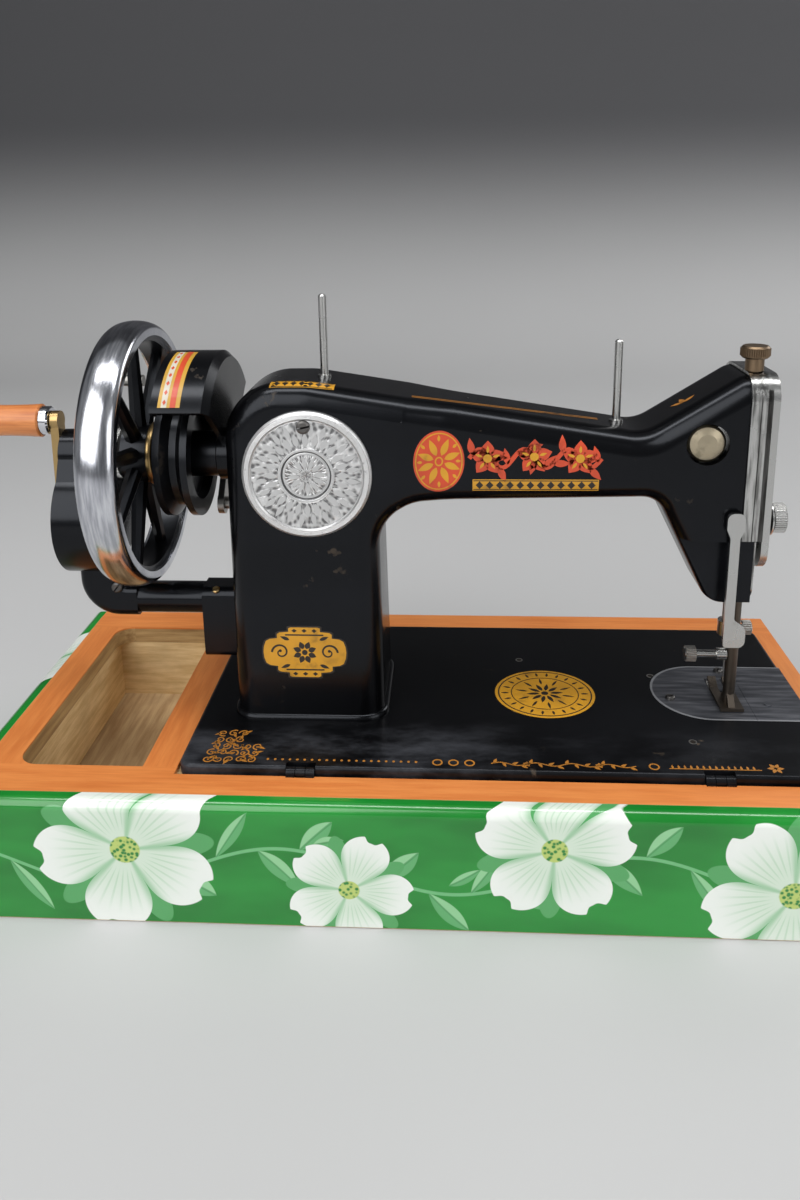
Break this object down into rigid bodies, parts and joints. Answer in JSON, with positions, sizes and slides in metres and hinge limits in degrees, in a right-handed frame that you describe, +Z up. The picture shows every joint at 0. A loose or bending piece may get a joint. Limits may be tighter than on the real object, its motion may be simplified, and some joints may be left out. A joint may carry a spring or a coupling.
{
  "type": "sewing machine",
  "caption": "Hand-cranked domestic sewing machine with a black arm on a hinged bed, spoked handwheel, geared crank and a wooden base with a side tray",
  "frame": {"origin": "middle of the flat underside of the wooden base", "axes": "+X from the handwheel to the needle end, +Y from the rear to the operator's side, +Z up"},
  "size_m": [0.5549, 0.235, 0.3333],
  "materials": {
    "green_laminate": "glossy printed laminate over board",
    "varnished_wood": "orange varnish",
    "bare_wood": "bare",
    "black_enamel": "gloss black enamel with gilt ornament",
    "black_paint": "gloss black paint",
    "chrome": "polished plating",
    "steel": "ground",
    "brass": "worn",
    "rubber": "matt"
  },
  "bodies": {
    "base": {"rear_board": "green_laminate", "front_board": "green_laminate", "wheel_end_board": "green_laminate", "head_end_board": "green_laminate", "bottom_board": "bare_wood", "rear_rail": "varnished_wood", "front_rail": "varnished_wood", "wheel_end_rail": "varnished_wood", "divider_rail": "varnished_wood", "head_end_rail": "varnished_wood", "tray_walls": "bare_wood", "tray_floor": "bare_wood", "bed_rests": "bare_wood", "hinge_leaves": "steel"},
    "head": {"hinge_tongues": "steel", "bed_plate": "black_enamel", "arm_casting": "black_enamel", "rear_cover": "chrome", "face_plate": "chrome", "thread_guard": "chrome", "tension_discs": "chrome", "needle_plate": "chrome", "spool_pins": "chrome", "belt_guard": "black_paint", "crank_bracket": "black_enamel", "case_cover": "black_enamel", "shaft_bushes": "brass", "takeup_stud": "chrome", "stitch_plate": "chrome", "shuttle_race": "steel", "bobbin_case": "steel"},
    "wheel": {"arm_shaft": "steel", "handwheel_rim": "chrome", "handwheel_spider": "black_paint", "needle_crank": "steel"},
    "clutch": {"clutch_knob": "chrome"},
    "crank": {"crank_gear": "steel", "crank_arm": "brass"},
    "grip": {"handle_grip": "varnished_wood", "handle_ferrule": "chrome"},
    "pinion": {"drive_pinion": "steel"},
    "needle_carrier": {"needle_bar": "steel", "needle_clamp": "steel", "needle": "steel"},
    "link": {"needle_link": "steel"},
    "takeup": {"takeup_lever": "chrome"},
    "presser": {"presser_bar": "steel", "presser_foot": "chrome", "foot_screw": "chrome"},
    "lifter": {"lifter_lever": "chrome"},
    "pressure": {"pressure_screw": "brass"},
    "tension": {"tension_nut": "chrome"},
    "stitch": {"stitch_lever": "chrome"},
    "slide": {"slide_plate": "chrome"},
    "winder": {"winder_arm": "steel"},
    "winder_drive": {"winder_spindle": "rubber"},
    "hook": {"shuttle_hook": "steel", "hook_shaft": "steel"},
    "rod": {"connecting_rod": "steel"},
    "feed": {"feed_dog": "steel"}
  },
  "joints": [
    {"name": "head_tilt", "type": "hinge", "parent": "base", "child": "head", "pos_m": [0.055, -0.088, 0.076], "axis": [1, 0, 0], "range_deg": [0, 75]},
    {"name": "wheel_turn", "type": "hinge", "parent": "head", "child": "wheel", "pos_m": [-0.167, 0, 0.237], "axis": [1, 0, 0], "continuous": true},
    {"name": "clutch_turn", "type": "hinge", "parent": "wheel", "child": "clutch", "pos_m": [-0.178, 0, 0.237], "axis": [1, 0, 0], "range_deg": [-180, 180]},
    {"name": "crank_turn", "type": "hinge", "parent": "head", "child": "crank", "pos_m": [-0.2, 0, 0.1967], "axis": [1, 0, 0], "continuous": true},
    {"name": "grip_spin", "type": "hinge", "parent": "crank", "child": "grip", "pos_m": [-0.26, 0, 0.2577], "axis": [1, 0, 0], "continuous": true},
    {"name": "pinion_turn", "type": "hinge", "parent": "head", "child": "pinion", "pos_m": [-0.2, 0, 0.237], "axis": [1, 0, 0], "continuous": true},
    {"name": "needle_stroke", "type": "slide", "parent": "head", "child": "needle_carrier", "axis": [0, 0, 1], "range_m": [-0.031, 0]},
    {"name": "link_swing", "type": "hinge", "parent": "needle_carrier", "child": "link", "pos_m": [0.1844, 0, 0.2225], "axis": [1, 0, 0], "range_deg": [-31, 31]},
    {"name": "takeup_swing", "type": "hinge", "parent": "head", "child": "takeup", "pos_m": [0.168, -0.021, 0.25], "axis": [0, 1, 0], "range_deg": [-8, 24]},
    {"name": "presser_lift", "type": "slide", "parent": "head", "child": "presser", "axis": [0, 0, 1], "range_m": [0, 0.006]},
    {"name": "lifter_turn", "type": "hinge", "parent": "head", "child": "lifter", "pos_m": [0.1855, -0.032, 0.206], "axis": [0, -1, 0], "range_deg": [0, 80]},
    {"name": "pressure_turn", "type": "hinge", "parent": "head", "child": "pressure", "pos_m": [0.1945, -0.014, 0.295], "axis": [0, 0, 1], "range_deg": [-720, 720]},
    {"name": "tension_turn", "type": "hinge", "parent": "head", "child": "tension", "pos_m": [0.214, -0.011, 0.201], "axis": [1, 0, 0], "range_deg": [-360, 360]},
    {"name": "stitch_turn", "type": "hinge", "parent": "head", "child": "stitch", "pos_m": [-0.0625, 0.0429, 0.156], "axis": [1, 0, 0], "range_deg": [-20, 20]},
    {"name": "slide_plate_pull", "type": "slide", "parent": "head", "child": "slide", "axis": [1, 0, 0], "range_m": [0, 0.03]},
    {"name": "winder_swing", "type": "hinge", "parent": "head", "child": "winder", "pos_m": [-0.112, 0.024, 0.197], "axis": [-1, 0, 0], "range_deg": [0, 15]},
    {"name": "winder_spin", "type": "hinge", "parent": "winder", "child": "winder_drive", "pos_m": [-0.132, 0.04696, 0.22529], "axis": [1, 0, 0], "continuous": true},
    {"name": "hook_swing", "type": "hinge", "parent": "head", "child": "hook", "pos_m": [0.1, 0, 0.05], "axis": [1, 0, 0], "range_deg": [-104, 104]},
    {"name": "rod_stroke", "type": "slide", "parent": "head", "child": "rod", "axis": [0, 0, 1], "range_m": [-0.004, 0.004]},
    {"name": "feed_stroke", "type": "slide", "parent": "head", "child": "feed", "axis": [0, 1, 0], "range_m": [-0.002, 0.002]}
  ],
  "couplings": [
    {"joint": "crank_turn", "follows": "wheel_turn", "ratio": -0.33333},
    {"joint": "pinion_turn", "follows": "wheel_turn", "ratio": 1},
    {"joint": "lifter_turn", "follows": "presser_lift", "rad_per_m": 232.71}
  ]
}
